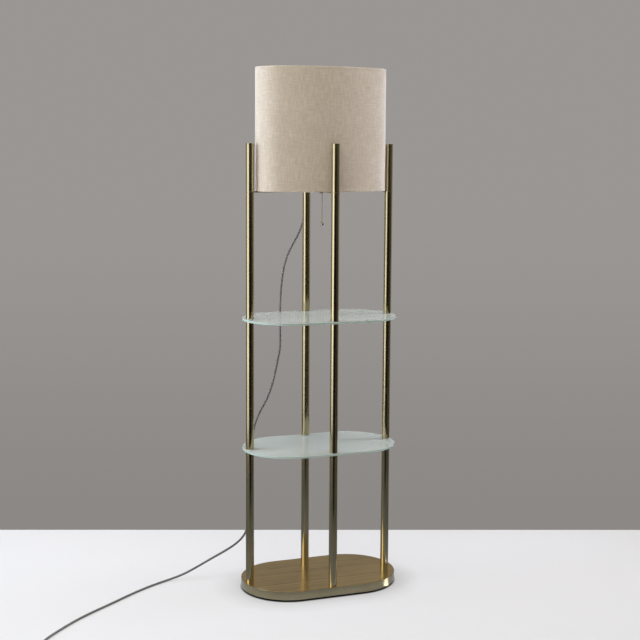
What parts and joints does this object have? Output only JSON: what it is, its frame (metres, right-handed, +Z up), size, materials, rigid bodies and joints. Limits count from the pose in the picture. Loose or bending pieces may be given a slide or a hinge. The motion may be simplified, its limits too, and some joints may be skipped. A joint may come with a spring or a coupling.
{
  "type": "shelf floor lamp",
  "caption": "Shelf floor lamp: round brass-finish poles rise from an oval weighted base through oval glass shelves to an oval linen drum shade with a pull-chain lampholder.",
  "frame": {"origin": "on the floor, under the middle of the base", "axes": "+Z up, +X along the long side of the oval base, +Y towards the back, where the lead leaves"},
  "size_m": [1.1764, 0.548, 1.606],
  "materials": {
    "base_brass": "antique brass plate, brushed",
    "pole_brass": "antique brass plate, polished and lacquered",
    "frame_brass": "antique brass plate, satin",
    "weight_iron": "cast, painted black",
    "cover_steel": "black powder coat",
    "foot_rubber": "matt",
    "fastener_steel": "zinc plated",
    "washer_clear": "clear nylon",
    "shelf_glass": "frosted tempered glass with polished edge",
    "shade_linen": "natural off-white linen weave",
    "shade_backing": "white backing film",
    "ring_white": "white enamel wire",
    "holder_brass": "polished brass",
    "sleeve_board": "insulating board",
    "holder_phenolic": "black phenolic",
    "contact_brass": "plain brass",
    "bulb_frost": "frosted inside",
    "bulb_cap": "plain aluminium",
    "chain_brass": "antique brass",
    "ball_metal": "polished antique brass plate",
    "wire_insulation": "gold tinted insulation",
    "bush_rubber": "black moulded",
    "cord_braid": "charcoal and light grey textile braid",
    "plug_black": "black moulded",
    "blade_brass": "plain brass"
  },
  "bodies": {
    "lamp": {"base_shell": "base_brass", "pole_left_lower": "pole_brass", "pole_left_middle": "pole_brass", "pole_left_upper": "pole_brass", "pole_left_top": "pole_brass", "pole_right_lower": "pole_brass", "pole_right_middle": "pole_brass", "pole_right_upper": "pole_brass", "pole_right_top": "pole_brass", "pole_front_lower": "pole_brass", "pole_front_middle": "pole_brass", "pole_front_upper": "pole_brass", "pole_front_top": "pole_brass", "pole_back_lower": "pole_brass", "pole_back_middle": "pole_brass", "pole_back_upper": "pole_brass", "pole_back_top": "pole_brass", "pole_caps": "pole_brass", "support_frame": "frame_brass", "shade_clips": "frame_brass", "shade_clip_screws": "frame_brass", "base_weight": "weight_iron", "base_cover": "cover_steel", "base_feet": "foot_rubber", "base_cover_screws": "fastener_steel", "base_bolts": "fastener_steel", "pole_inserts": "fastener_steel", "shelf_studs": "fastener_steel", "frame_studs": "fastener_steel", "nipple": "fastener_steel", "nipple_nuts": "fastener_steel", "shelf_washers": "washer_clear", "lower_shelf": "shelf_glass", "upper_shelf": "shelf_glass", "shade_fabric": "shade_linen", "shade_liner": "shade_backing", "shade_bottom_ring": "ring_white", "shade_top_ring": "ring_white", "socket_riser": "holder_brass", "socket_cap": "holder_brass", "socket_shell": "holder_brass", "chain_guide": "holder_brass", "socket_sleeve": "sleeve_board", "socket_body": "holder_phenolic", "screw_shell": "contact_brass", "centre_contact": "contact_brass", "lead_wires": "wire_insulation", "cord_bush": "bush_rubber", "power_cord": "cord_braid", "cord_coil": "cord_braid", "plug_body": "plug_black", "plug_blades": "blade_brass"},
    "bulb": {"bulb_glass": "bulb_frost", "bulb_base": "bulb_cap"},
    "chain_stub_body": {"chain_stub": "chain_brass"},
    "chain_hanging_body": {"pull_chain": "chain_brass", "chain_ball": "ball_metal"}
  },
  "joints": [
    {"name": "chain_pull", "type": "slide", "parent": "lamp", "child": "chain_stub_body", "axis": [0, 0, -1], "range_m": [0, 0.007], "stiffness_N_per_m": 900},
    {"name": "chain_swing", "type": "hinge", "parent": "chain_stub_body", "child": "chain_hanging_body", "pos_m": [0.01272, 0.02035, 1.2908], "axis": [0.848, -0.5299, 0], "range_deg": [-6, 25]},
    {"name": "bulb_lift", "type": "slide", "parent": "lamp", "child": "bulb", "axis": [0, 0, 1], "range_m": [0, 0.3]}
  ]
}
